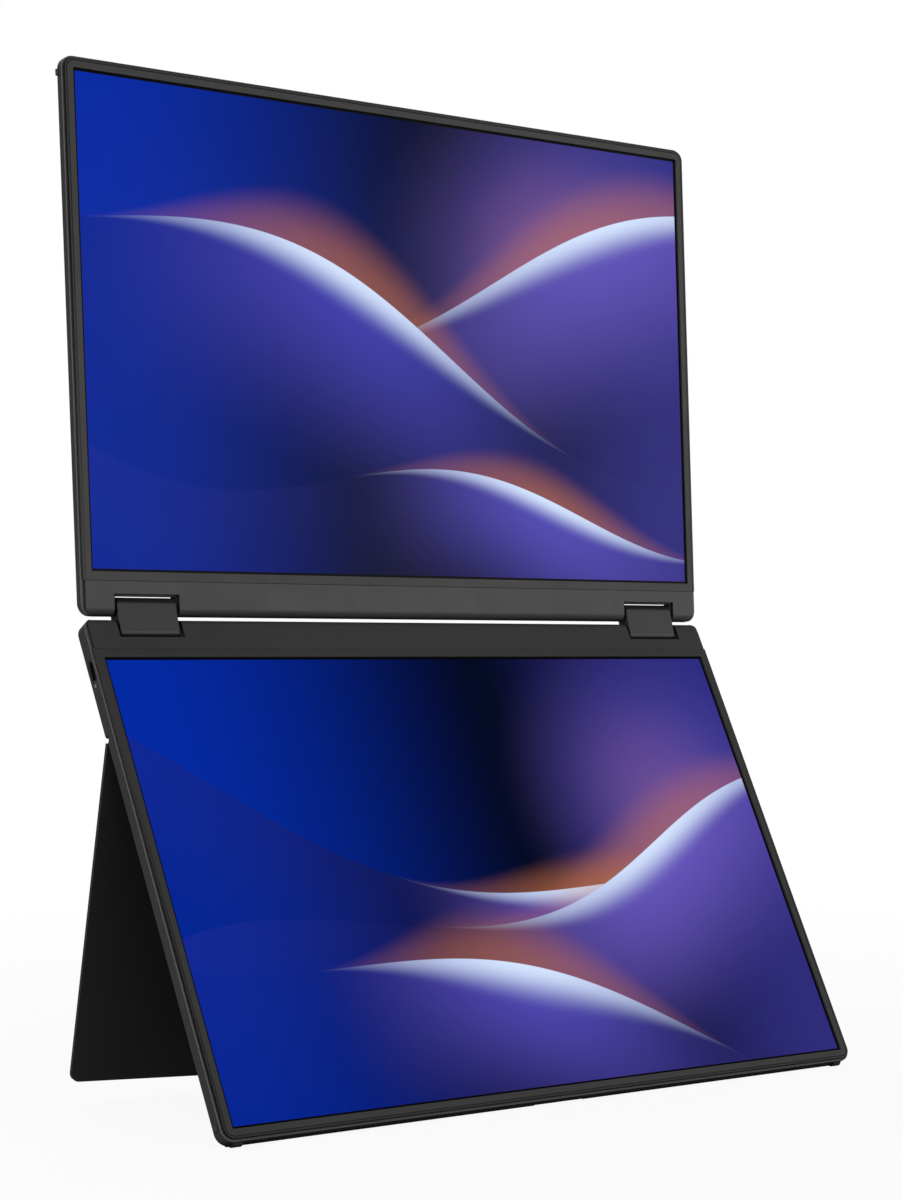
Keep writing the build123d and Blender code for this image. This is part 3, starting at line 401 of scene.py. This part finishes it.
def bordered_bezel(name, look, screen):
    """Bezel with painted shade on its outer border, and fine dark lines painted along its outer edge, a seam with
    painted shade in it and painted shade at the very edge, stronger towards the far end.
    """
    border_shade, seam_and_edge_shade, line_rough = 0.3, 0.65, 0.3
    bezel = finished_surface(name, look.bezel, roughness=0.5, grain=look.grain * 0.7, edge_width=look.edge,
                             bump=0.06, gap_shade=0.5)
    tree = bezel.tree
    place = object_place(tree)

    # How deep a place lies inside the rounded outline
    across = maths(tree, "ABSOLUTE", dotted(tree, place, RIGHT))
    side = maths(tree, "SUBTRACT", across, BEZEL_HALF_WIDTH - BEZEL_ROUND)
    end = from_point(tree, place, screen.along, screen.pin, BEZEL_FAR_END - BEZEL_ROUND)
    corner = put(tree, "ShaderNodeCombineXYZ",
                 {0: maths(tree, "MAXIMUM", side, 0.0), 1: maths(tree, "MAXIMUM", end, 0.0)})
    outward = put(tree, "ShaderNodeVectorMath", {0: corner.outputs[0]}, operation="LENGTH").outputs["Value"]
    inward = maths(tree, "MINIMUM", maths(tree, "MAXIMUM", side, end), 0.0)
    inset = maths(tree, "SUBTRACT", BEZEL_ROUND, maths(tree, "ADD", outward, inward))

    # Painted shade on the border, a dark seam line painted inside it, and painted shade at the very edge
    border = ramped(tree, inset, low=BEZEL_BORDER + 0.1 * MM, high=BEZEL_BORDER - 0.1 * MM)
    line = between(tree, inset, low=BEZEL_BORDER - 0.2 * MM, high=BEZEL_BORDER + 0.25 * MM, soft=0.1 * MM)
    line = maths(tree, "MAXIMUM", line, ramped(tree, inset, low=0.3 * MM, high=0.1 * MM))
    dark = maths(tree, "MULTIPLY_ADD", line, seam_and_edge_shade, maths(tree, "MULTIPLY", border, border_shade))
    # Painted shade and seam stronger towards the far end
    strength = ramped(tree, end, low=-180 * MM, high=-60 * MM)
    dim = lessened(tree, maths(tree, "MULTIPLY", dark, strength), 1.0)
    tree.links.new(scaled(tree, bezel.tone, dim), bezel.shader.inputs["Base Color"])
    tree.links.new(maths(tree, "MULTIPLY_ADD", line, line_rough, bezel.rough), bezel.shader.inputs["Roughness"])
    return bezel.material


class MONITOR_OT_case(Operator):
    """Finish the back covers, bezels and chin strips"""
    bl_idname = "monitor.case"
    bl_label = "Case"

    def execute(self, context):
        look = context.scene.monitor_case
        for side, screen in (("lower", LOWER), ("upper", UPPER)):
            dress([f"{side}_back_cover"], rimmed_case(f"{side}_case", look, screen))
            dress([f"{side}_front_bezel"], bordered_bezel(f"{side}_bezel", look, screen))
        chin = finished_surface("chin_strip", look.chin, roughness=0.46, grain=look.grain, edge_width=look.edge,
                                streak=0.06, bump=0.1)
        dress(both_screens("chin_strip"), chin.material)
        return {"FINISHED"}


def ridge_group():
    """One ridge of the picture: a rolling line, lit along part of its crest and fading below it."""
    name = "picture ridge"
    if name in bpy.data.node_groups:
        return bpy.data.node_groups[name]
    slow_share, slow_swing = 0.43, 0.6
    least_width, crest_power = 0.0008, 1.6
    halo_reach, halo_share = -1.4, 0.5
    least_haze = 0.04
    numbers = ("Along", "Up", "Level", "Swing", "Turns", "Phase", "Fade", "Glow", "Light")
    colours = ("Behind", "Warm", "Crest", "Haze", "Foot")
    tree, source, result = new_group(
        name, [(n, "NodeSocketFloat", 0.0) for n in numbers] + [(n, "NodeSocketColor", None) for n in colours],
        [("Color", "NodeSocketColor")])
    given = source.outputs
    light = given["Light"]

    # Depth below the rolling line
    first = maths(tree, "SINE", maths(tree, "MULTIPLY_ADD", given["Along"], given["Turns"], given["Phase"]))
    slower = maths(tree, "MULTIPLY", given["Turns"], slow_share)
    second = maths(tree, "SINE", maths(tree, "MULTIPLY_ADD", given["Along"], slower, given["Phase"]))
    roll = maths(tree, "MULTIPLY_ADD", second, slow_swing, first)
    line = maths(tree, "MULTIPLY_ADD", roll, given["Swing"], given["Level"])
    depth = maths(tree, "SUBTRACT", line, given["Up"])
    inside = ramped(tree, depth, low=-PICTURE_SOFT, high=PICTURE_SOFT)

    # Lit crest and the warm halo behind it
    width = maths(tree, "ADD", maths(tree, "MULTIPLY", given["Glow"], light), least_width)
    rim = maths(tree, "DIVIDE", depth, width)
    lit = maths(tree, "POWER", ramped(tree, rim, low=1.0, high=0.0), crest_power)
    lit = maths(tree, "MULTIPLY", lit, light)
    halo = maths(tree, "MULTIPLY", ramped(tree, rim, low=halo_reach, high=0.0, to_high=halo_share), light)
    behind = mixed(tree, halo, given["Behind"], given["Warm"])

    # Haze that fades towards the foot
    fade = ramped(tree, maths(tree, "DIVIDE", depth, given["Fade"]), low=0.0, high=1.0)
    glow = maths(tree, "MULTIPLY_ADD", light, 1.0 - least_haze, least_haze)
    hazy = maths(tree, "MULTIPLY", maths(tree, "SUBTRACT", 1.0, fade), glow)
    body = mixed(tree, hazy, given["Foot"], given["Haze"])
    body = mixed(tree, lit, body, given["Crest"])
    tree.links.new(mixed(tree, inside, behind, body), result.inputs["Color"])
    return tree


def picture_sky(tree, look, across, up, glow):
    """Night sky of a picture, dark towards the middle, with a hazy glow."""
    warm_reach = glow.reach * 0.6
    sky = mixed(tree, ramped(tree, across, low=0.0, high=0.6), rgba(look.night), rgba(look.dark))
    sky = mixed(tree, ramped(tree, across, low=0.55, high=1.0, to_high=0.5), sky,
                rgba(blended(look.night, look.violet, 0.3)))
    spot = put(tree, "ShaderNodeCombineXYZ", {0: across, 1: up}).outputs[0]
    away = put(tree, "ShaderNodeVectorMath", {0: spot, 1: (glow.across, glow.up, 0)},
               operation="DISTANCE").outputs["Value"]
    sky = mixed(tree, ramped(tree, away, low=glow.reach, high=0.0, to_high=glow.haze_share), sky,
                rgba(look.violet))
    return mixed(tree, ramped(tree, away, low=warm_reach, high=0.0, to_high=glow.warm_share), sky,
                 rgba(look.warm))


def picture_material(name, screen, upward, ridges, glow, look):
    """Lit picture of night ridges on a screen's glass, with a black edge around it."""
    glass, margin = (0.001, 0.001, 0.0015), (0.001, 0.001, 0.0012)
    material, tree, shader = fresh_material(name)
    place = object_place(tree)

    # Place in the picture, in picture widths from its lower left corner
    across = maths(tree, "DIVIDE", dotted(tree, place, RIGHT, -PICTURE_WIDTH / 2), PICTURE_WIDTH)
    up = from_point(tree, place, screen.along, screen.pin, PICTURE_START)
    if not upward:
        up = maths(tree, "SUBTRACT", PICTURE_HEIGHT, up)
    up = maths(tree, "DIVIDE", up, PICTURE_WIDTH)
    top = PICTURE_HEIGHT / PICTURE_WIDTH

    colour = picture_sky(tree, look, across, up, glow)
    foot = mixed(tree, ramped(tree, across, low=0.0, high=0.5), rgba(look.night, 0.8), rgba(look.dark))
    foot = mixed(tree, ramped(tree, across, low=0.6, high=1.0), foot,
                 rgba(blended(look.night, look.violet, 0.4), 0.45))
    for ridge in ridges:
        tilt = radians(ridge.lean)
        aside = maths(tree, "ABSOLUTE", maths(tree, "SUBTRACT", across, ridge.light_middle))
        drawn = put(tree, "ShaderNodeGroup", node_tree=ridge_group())
        for key, value in {
            "Along": maths(tree, "MULTIPLY_ADD", up, sin(tilt), maths(tree, "MULTIPLY", across, cos(tilt))),
            "Up": maths(tree, "MULTIPLY_ADD", up, cos(tilt), maths(tree, "MULTIPLY", across, -sin(tilt))),
            "Light": ramped(tree, aside, low=ridge.light_reach, high=0.0),
            "Behind": colour,
            "Foot": foot,
        }.items():
            tree.links.new(value, drawn.inputs[key])
        for key, value in {
            "Level": ridge.level,
            "Swing": ridge.swing,
            "Turns": ridge.turns,
            "Phase": ridge.phase,
            "Fade": ridge.fade,
            "Glow": ridge.crest_width,
            "Warm": rgba(look.warm),
            "Crest": rgba(look.crest),
            "Haze": rgba(blended(look.night, look.violet, ridge.hue)),
        }.items():
            drawn.inputs[key].default_value = value
        colour = drawn.outputs["Color"]

    inside_sides = maths(tree, "MULTIPLY", ramped(tree, across, low=0.0, high=PICTURE_SOFT),
                         ramped(tree, across, low=1.0, high=1.0 - PICTURE_SOFT))
    inside_ends = maths(tree, "MULTIPLY", ramped(tree, up, low=0.0, high=PICTURE_SOFT),
                        ramped(tree, up, low=top, high=top - PICTURE_SOFT))
    picture = mixed(tree, maths(tree, "MULTIPLY", inside_sides, inside_ends), rgba(margin), colour)
    wipe = put(tree, "ShaderNodeTexNoise", {"Vector": place, "Scale": 30.0, "Detail": 3.0, "Distortion": 1.2})
    rough = ramped(tree, wipe.outputs["Fac"], low=0.3, high=0.8, to_low=0.2, to_high=0.28)
    tree.links.new(picture, shader.inputs["Emission Color"])
    tree.links.new(rough, shader.inputs["Roughness"])
    shader.inputs["Base Color"].default_value = rgba(glass)
    shader.inputs["Specular IOR Level"].default_value = 0.02
    shader.inputs["Emission Strength"].default_value = look.strength
    return material


class MONITOR_OT_screens(Operator):
    """Light both screens with a plain picture of night ridges"""
    bl_idname = "monitor.screens"
    bl_label = "Screens"

    def execute(self, context):
        look = context.scene.monitor_picture
        upper_glow = Glow(across=0.78, up=0.42, reach=0.36, haze_share=0.6, warm_share=0.3)
        upper_ridges = (
            Ridge(lean=12, level=0.3, swing=0.07, turns=5.2, phase=2.6, fade=0.3, crest_width=0.06, hue=0.8,
                  light_middle=0.86, light_reach=0.5),
            Ridge(lean=-16, level=0.42, swing=0.06, turns=5.6, phase=0.6, fade=0.3, crest_width=0.06, hue=0.35,
                  light_middle=0.4, light_reach=0.42),
            Ridge(lean=-8, level=0.2, swing=0.045, turns=7.0, phase=3.9, fade=0.22, crest_width=0.04, hue=0.6,
                  light_middle=0.74, light_reach=0.36),
        )
        lower_glow = Glow(across=0.84, up=0.4, reach=0.3, haze_share=0.5, warm_share=0.12)
        lower_ridges = (
            Ridge(lean=-14, level=0.46, swing=0.06, turns=5.4, phase=3.2, fade=0.28, crest_width=0.045, hue=0.7,
                  light_middle=0.68, light_reach=0.36),
            Ridge(lean=14, level=0.14, swing=0.06, turns=6.0, phase=1.2, fade=0.28, crest_width=0.06, hue=0.9,
                  light_middle=0.8, light_reach=0.45),
            Ridge(lean=-18, level=0.26, swing=0.05, turns=5.8, phase=5.4, fade=0.28, crest_width=0.07, hue=0.55,
                  light_middle=0.5, light_reach=0.34),
        )
        dress(["upper_display_glass"],
              picture_material("upper_picture", UPPER, True, upper_ridges, upper_glow, look))
        dress(["lower_display_glass"],
              picture_material("lower_picture", LOWER, False, lower_ridges, lower_glow, look))
        return {"FINISHED"}


class MONITOR_OT_hinges(Operator):
    """Finish the hinge covers, shafts, gears, friction plates and brackets"""
    bl_idname = "monitor.hinges"
    bl_label = "Hinges"

    def execute(self, context):
        look = context.scene.monitor_case

        # Blocks with a dark shade painted on their rolled top
        shade_dark, shade_rough = 0.95, 0.4
        cover = finished_surface("hinge_cover", look.hinge, roughness=0.44, grain=look.grain * 0.8,
                                 edge_width=look.edge, bump=0.06)
        tree = cover.tree
        height = from_point(tree, object_place(tree), BLOCK_UP, BLOCK_MIDDLE)
        rolled = ramped(tree, height, BLOCK_SHADE_START, BLOCK_SHADE_FULL)
        tree.links.new(scaled(tree, cover.tone, lessened(tree, rolled, shade_dark)),
                       cover.shader.inputs["Base Color"])
        tree.links.new(maths(tree, "MULTIPLY_ADD", rolled, shade_rough, cover.rough),
                       cover.shader.inputs["Roughness"])
        dress(both_sides("hinge_housing", "hinge_cap"), cover.material)

        turned = finished_surface("turned_steel", (0.42, 0.42, 0.43), roughness=0.28, grain=0.2 * MM,
                                  edge_width=0.1 * MM, bump=0.2, metallic=1.0, streak=12.0, edge_wear_and_highlight=0.3)
        dress(both_sides("lower_hinge_shaft", "upper_hinge_shaft", "idler_pins"), turned.material)
        dress(both_screens("bracket_screws"), turned.material)
        brass = finished_surface("cut_brass", BRASS, roughness=0.3, grain=0.2 * MM, edge_width=0.08 * MM, bump=0.2,
                                 metallic=1.0, edge_wear_and_highlight=0.3)
        dress(both_sides("lower_idler_gear", "upper_idler_gear"), brass.material)
        pressed = finished_surface("pressed_steel", (0.36, 0.36, 0.37), roughness=0.36, grain=0.4 * MM,
                                   edge_width=0.15 * MM, bump=0.12, metallic=1.0, streak=0.2, edge_wear_and_highlight=0.4)
        dress(both_sides("friction_plates", "lower_hinge_bracket", "upper_hinge_bracket"), pressed.material)
        return {"FINISHED"}


class MONITOR_OT_stand(Operator):
    """Finish the stand plate, its pins and its leaves"""
    bl_idname = "monitor.stand"
    bl_label = "Stand"

    def execute(self, context):
        look = context.scene.monitor_case
        plate = finished_surface("stand_plate", look.stand, roughness=0.55, grain=look.grain, edge_width=look.edge,
                                 bump=0.08, edge_wear_and_highlight=0.8)
        dress(["stand_plate"], plate.material)
        leaf = finished_surface("stand_leaf", (0.3, 0.3, 0.31), roughness=0.36, grain=0.4 * MM, edge_width=0.2 * MM,
                                bump=0.12, metallic=1.0, streak=0.2)
        dress(["stand_leaves", "stand_pins", "stand_leaf_screws"], leaf.material)
        return {"FINISHED"}


class MONITOR_OT_rubber(Operator):
    """Finish the feet and bumpers"""
    bl_idname = "monitor.rubber"
    bl_label = "Rubber"

    def execute(self, context):
        look = context.scene.monitor_case
        rubber = finished_surface("rubber", look.rubber, roughness=0.72, grain=0.45 * MM, edge_width=0.3 * MM,
                                  bump=0.2, edge_wear_and_highlight=0.6, specular=0.35)
        dress(["front_feet", "stand_foot"] + both_screens("side_bumpers"), rubber.material)
        return {"FINISHED"}


class MONITOR_OT_sockets(Operator):
    """Finish the sockets, the status light, the buttons and the tripod insert"""
    bl_idname = "monitor.sockets"
    bl_label = "Sockets and buttons"

    def execute(self, context):
        look = context.scene.monitor_case
        shell = finished_surface("socket_shell", (0.2, 0.2, 0.205), roughness=0.36, grain=0.3 * MM,
                                 edge_width=0.08 * MM, bump=0.1, metallic=1.0, streak=0.1, edge_wear_and_highlight=0.3)
        dress(both_sides("usb_c_socket") + ["mini_hdmi_socket"], shell.material)

        # Black tongues with a row of gilt contacts
        gilt_colour = (0.4, 0.28, 0.09, 1.0)
        tongue = finished_surface("socket_tongue", (0.01, 0.01, 0.011), roughness=0.4, grain=0.4 * MM,
                                  edge_width=0.05 * MM, bump=0.1)
        tree = tongue.tree
        down = from_point(tree, object_place(tree), LOWER.along, LOWER.pin)
        spot = put(tree, "ShaderNodeCombineXYZ", {0: down}).outputs[0]
        row = put(tree, "ShaderNodeTexWave", {"Vector": spot, "Scale": 620.0}, wave_type="BANDS",
                  bands_direction="X")
        gilt = ramped(tree, row.outputs["Fac"], low=0.6, high=0.7)
        tree.links.new(mixed(tree, gilt, tongue.tone, gilt_colour), tongue.shader.inputs["Base Color"])
        tree.links.new(gilt, tongue.shader.inputs["Metallic"])
        dress(["socket_tongues"], tongue.material)

        # Pale lens that glows a little
        lens = finished_surface("light_lens", (0.16, 0.165, 0.17), roughness=0.3, grain=0.5 * MM,
                                edge_width=0.2 * MM, bump=0.05, edge_wear_and_highlight=0.2)
        cloud = put(lens.tree, "ShaderNodeTexNoise", {"Scale": 900.0, "Detail": 1.0})
        lit = mixed(lens.tree, cloud.outputs["Fac"], (0.3, 0.33, 0.38, 1.0), (0.45, 0.48, 0.52, 1.0))
        lens.tree.links.new(lit, lens.shader.inputs["Emission Color"])
        lens.shader.inputs["Emission Strength"].default_value = 0.12
        dress(["status_light"], lens.material)

        button = finished_surface("button", blended(look.case, look.stand, 0.5), roughness=0.45,
                                  grain=look.grain * 0.6, edge_width=look.edge, bump=0.06)
        dress(["power_button", "menu_button"], button.material)

        # Insert with the turns of its thread
        brass = finished_surface("threaded_brass", BRASS, roughness=0.32, grain=0.3 * MM, edge_width=0.1 * MM,
                                 bump=0.1, metallic=1.0, edge_wear_and_highlight=0.3)
        tree = brass.tree
        depth = dotted(tree, object_place(tree), LOWER.outward)
        thread = maths(tree, "SINE", maths(tree, "MULTIPLY", depth, 2 * pi / THREAD_PITCH))
        turns = put(tree, "ShaderNodeBump", {"Height": thread, "Strength": 0.8, "Distance": 0.3 * MM})
        tree.links.new(turns.outputs[0], brass.shader.inputs["Normal"])
        dress(["tripod_insert"], brass.material)
        return {"FINISHED"}


def board_material(name, screen, board_top):
    """Green board with pale tracks, and dark chips where it is higher than the board's top."""
    track_colour, track_share = (0.05, 0.16, 0.07, 1.0), 0.6
    board = finished_surface(name, (0.01, 0.06, 0.03), roughness=0.38, grain=0.6 * MM, edge_width=0.1 * MM,
                             bump=0.06, edge_wear_and_highlight=0.3)
    tree = board.tree
    place = object_place(tree)
    tracks = put(tree, "ShaderNodeTexBrick", {"Vector": place, "Scale": 160.0, "Mortar Size": 0.012,
                                              "Color1": BLACK, "Color2": BLACK, "Mortar": WHITE},
                 offset=0.37, squash=0.6)
    tracked = mixed(tree, maths(tree, "MULTIPLY", tracks.outputs["Fac"], track_share), board.tone, track_colour)
    height = from_point(tree, place, screen.outward, screen.pin, board_top)
    chip = ramped(tree, height, low=0.02 * MM, high=0.05 * MM)
    pads = put(tree, "ShaderNodeTexVoronoi", {"Vector": place, "Scale": 420.0})
    dark = mixed(tree, pads.outputs["Distance"], (0.012, 0.012, 0.013, 1.0), (0.03, 0.03, 0.032, 1.0))
    tree.links.new(mixed(tree, chip, tracked, dark), board.shader.inputs["Base Color"])
    return board.material


class MONITOR_OT_inside(Operator):
    """Finish the boards and the display chassis plates"""
    bl_idname = "monitor.inside"
    bl_label = "Inside"

    def execute(self, context):
        sheet = finished_surface("chassis_sheet", (0.4, 0.4, 0.41), roughness=0.4, grain=0.5 * MM,
                                 edge_width=0.1 * MM, bump=0.1, metallic=1.0, streak=0.1)
        dress(both_screens("display_chassis"), sheet.material)
        dress(["main_board", "port_board"], board_material("board", LOWER, board_top=-2.05 * MM))
        dress(["key_board"], board_material("key_board", LOWER, board_top=-1.3 * MM))
        dress(["driver_board"], board_material("driver_board", UPPER, board_top=-0.35 * MM))
        return {"FINISHED"}


def floor_material(look):
    """Pale floor that the camera sees nearly white, and that throws less light back at the object."""
    cloud_dim, bounce_share = 0.985, 0.65
    material, tree, shader = fresh_material("floor")
    place = object_place(tree)
    cloud = put(tree, "ShaderNodeTexNoise", {"Vector": place, "Scale": 6.0, "Detail": 3.0})
    tone = mixed(tree, cloud.outputs["Fac"], rgba(look.floor), rgba(look.floor, cloud_dim))
    away = put(tree, "ShaderNodeVectorMath", {0: place}, operation="LENGTH").outputs["Value"]
    seen = camera_ray(tree)
    white = ramped(tree, away, low=0.1, high=0.9, to_low=0.92, to_high=1.0)
    white = maths(tree, "MULTIPLY", white, seen)
    plain = mixed(tree, seen, rgba(look.floor, bounce_share), tone)
    tree.links.new(mixed(tree, white, plain, BLACK), shader.inputs["Base Color"])
    tree.links.new(mixed(tree, white, BLACK, WHITE), shader.inputs["Emission Color"])
    shader.inputs["Emission Strength"].default_value = 1.0
    shader.inputs["Roughness"].default_value = 0.8
    shader.inputs["Specular IOR Level"].default_value = 0.0
    return material


def studio_world(look):
    """Even white light all around, with a white backdrop for the camera."""
    world = bpy.data.worlds.new("studio")
    world.use_nodes = True
    tree = world.node_tree
    light = tree.nodes["Background"]
    light.inputs["Color"].default_value = WHITE
    light.inputs["Strength"].default_value = look.sky_power
    backdrop = put(tree, "ShaderNodeBackground", {"Color": WHITE, "Strength": 1.0})
    either = put(tree, "ShaderNodeMixShader", {0: camera_ray(tree), 1: light.outputs[0], 2: backdrop.outputs[0]})
    tree.links.new(either.outputs[0], tree.nodes["World Output"].inputs["Surface"])
    return world


def soft_light(name, place, size, power):
    """Large square lamp that looks at the object."""
    lamp = bpy.data.lights.new(name, "AREA")
    lamp.shape = "SQUARE"
    lamp.size = size
    lamp.energy = power
    lamp_object = bpy.data.objects.new(name, lamp)
    lamp_object.location = place
    lamp_object.rotation_euler = (Vector(LIT_POINT) - Vector(place)).to_track_quat("-Z", "Y").to_euler()
    bpy.context.scene.collection.objects.link(lamp_object)


class MONITOR_OT_stage(Operator):
    """Set the pale floor, the soft studio lights and the camera"""
    bl_idname = "monitor.stage"
    bl_label = "Stage"

    def execute(self, context):
        scene = context.scene
        look = scene.monitor_studio
        bpy.ops.mesh.primitive_circle_add(vertices=96, radius=6.0, fill_type="NGON")
        floor = context.active_object
        floor.name = "floor"
        floor.data.materials.append(floor_material(look))
        scene.world = studio_world(look)
        scene.view_settings.view_transform = "Standard"
        soft_light("key", place=(1.3, -1.9, 0.3), size=1.6, power=look.key_power)
        soft_light("fill", place=(-0.7, -2.3, 0.6), size=1.4, power=look.fill_power)
        soft_light("rim", place=(-1.75, -0.35, 0.7), size=0.7, power=look.rim_power)
        soft_light("top", place=(0.2, 1.2, 1.8), size=1.6, power=look.top_power)

        camera = bpy.data.cameras.new("camera")
        camera.sensor_width = SENSOR_WIDTH
        camera.lens = look.lens
        camera.shift_y = look.shift
        camera_object = bpy.data.objects.new("camera", camera)
        camera_object.location = look.camera_place
        camera_object.rotation_euler = (pi / 2 - look.camera_tilt, 0, -look.camera_turn)
        scene.collection.objects.link(camera_object)
        scene.camera = camera_object
        return {"FINISHED"}


class MONITOR_PT_panel(Panel):
    """Steps that finish the monitor and its studio"""
    bl_idname = "MONITOR_PT_panel"
    bl_label = "Dual portable monitor"
    bl_space_type = "VIEW_3D"
    bl_region_type = "UI"
    bl_category = "Monitor"

    def draw(self, context):
        for step in STEPS:
            self.layout.operator(step.bl_idname)
        for setting in SETTINGS:
            group = getattr(context.scene, setting)
            for name in group.__annotations__:
                self.layout.prop(group, name)


SETTINGS = {"monitor_case": CaseFinish, "monitor_picture": PictureDesign, "monitor_studio": StudioSetup}
STEPS = (MONITOR_OT_stage, MONITOR_OT_case, MONITOR_OT_screens, MONITOR_OT_hinges, MONITOR_OT_stand,
         MONITOR_OT_rubber, MONITOR_OT_sockets, MONITOR_OT_inside)


def register():
    for kind in (*SETTINGS.values(), *STEPS, MONITOR_PT_panel):
        bpy.utils.register_class(kind)
    for name, kind in SETTINGS.items():
        setattr(bpy.types.Scene, name, PointerProperty(type=kind))


def unregister():
    for name in SETTINGS:
        delattr(bpy.types.Scene, name)
    for kind in (MONITOR_PT_panel, *reversed(STEPS), *reversed(SETTINGS.values())):
        bpy.utils.unregister_class(kind)


def main():
    register()
    bpy.ops.monitor.stage()
    bpy.ops.monitor.case()
    bpy.ops.monitor.screens()
    bpy.ops.monitor.hinges()
    bpy.ops.monitor.stand()
    bpy.ops.monitor.rubber()
    bpy.ops.monitor.sockets()
    bpy.ops.monitor.inside()


if __name__ == "__main__":
    main()
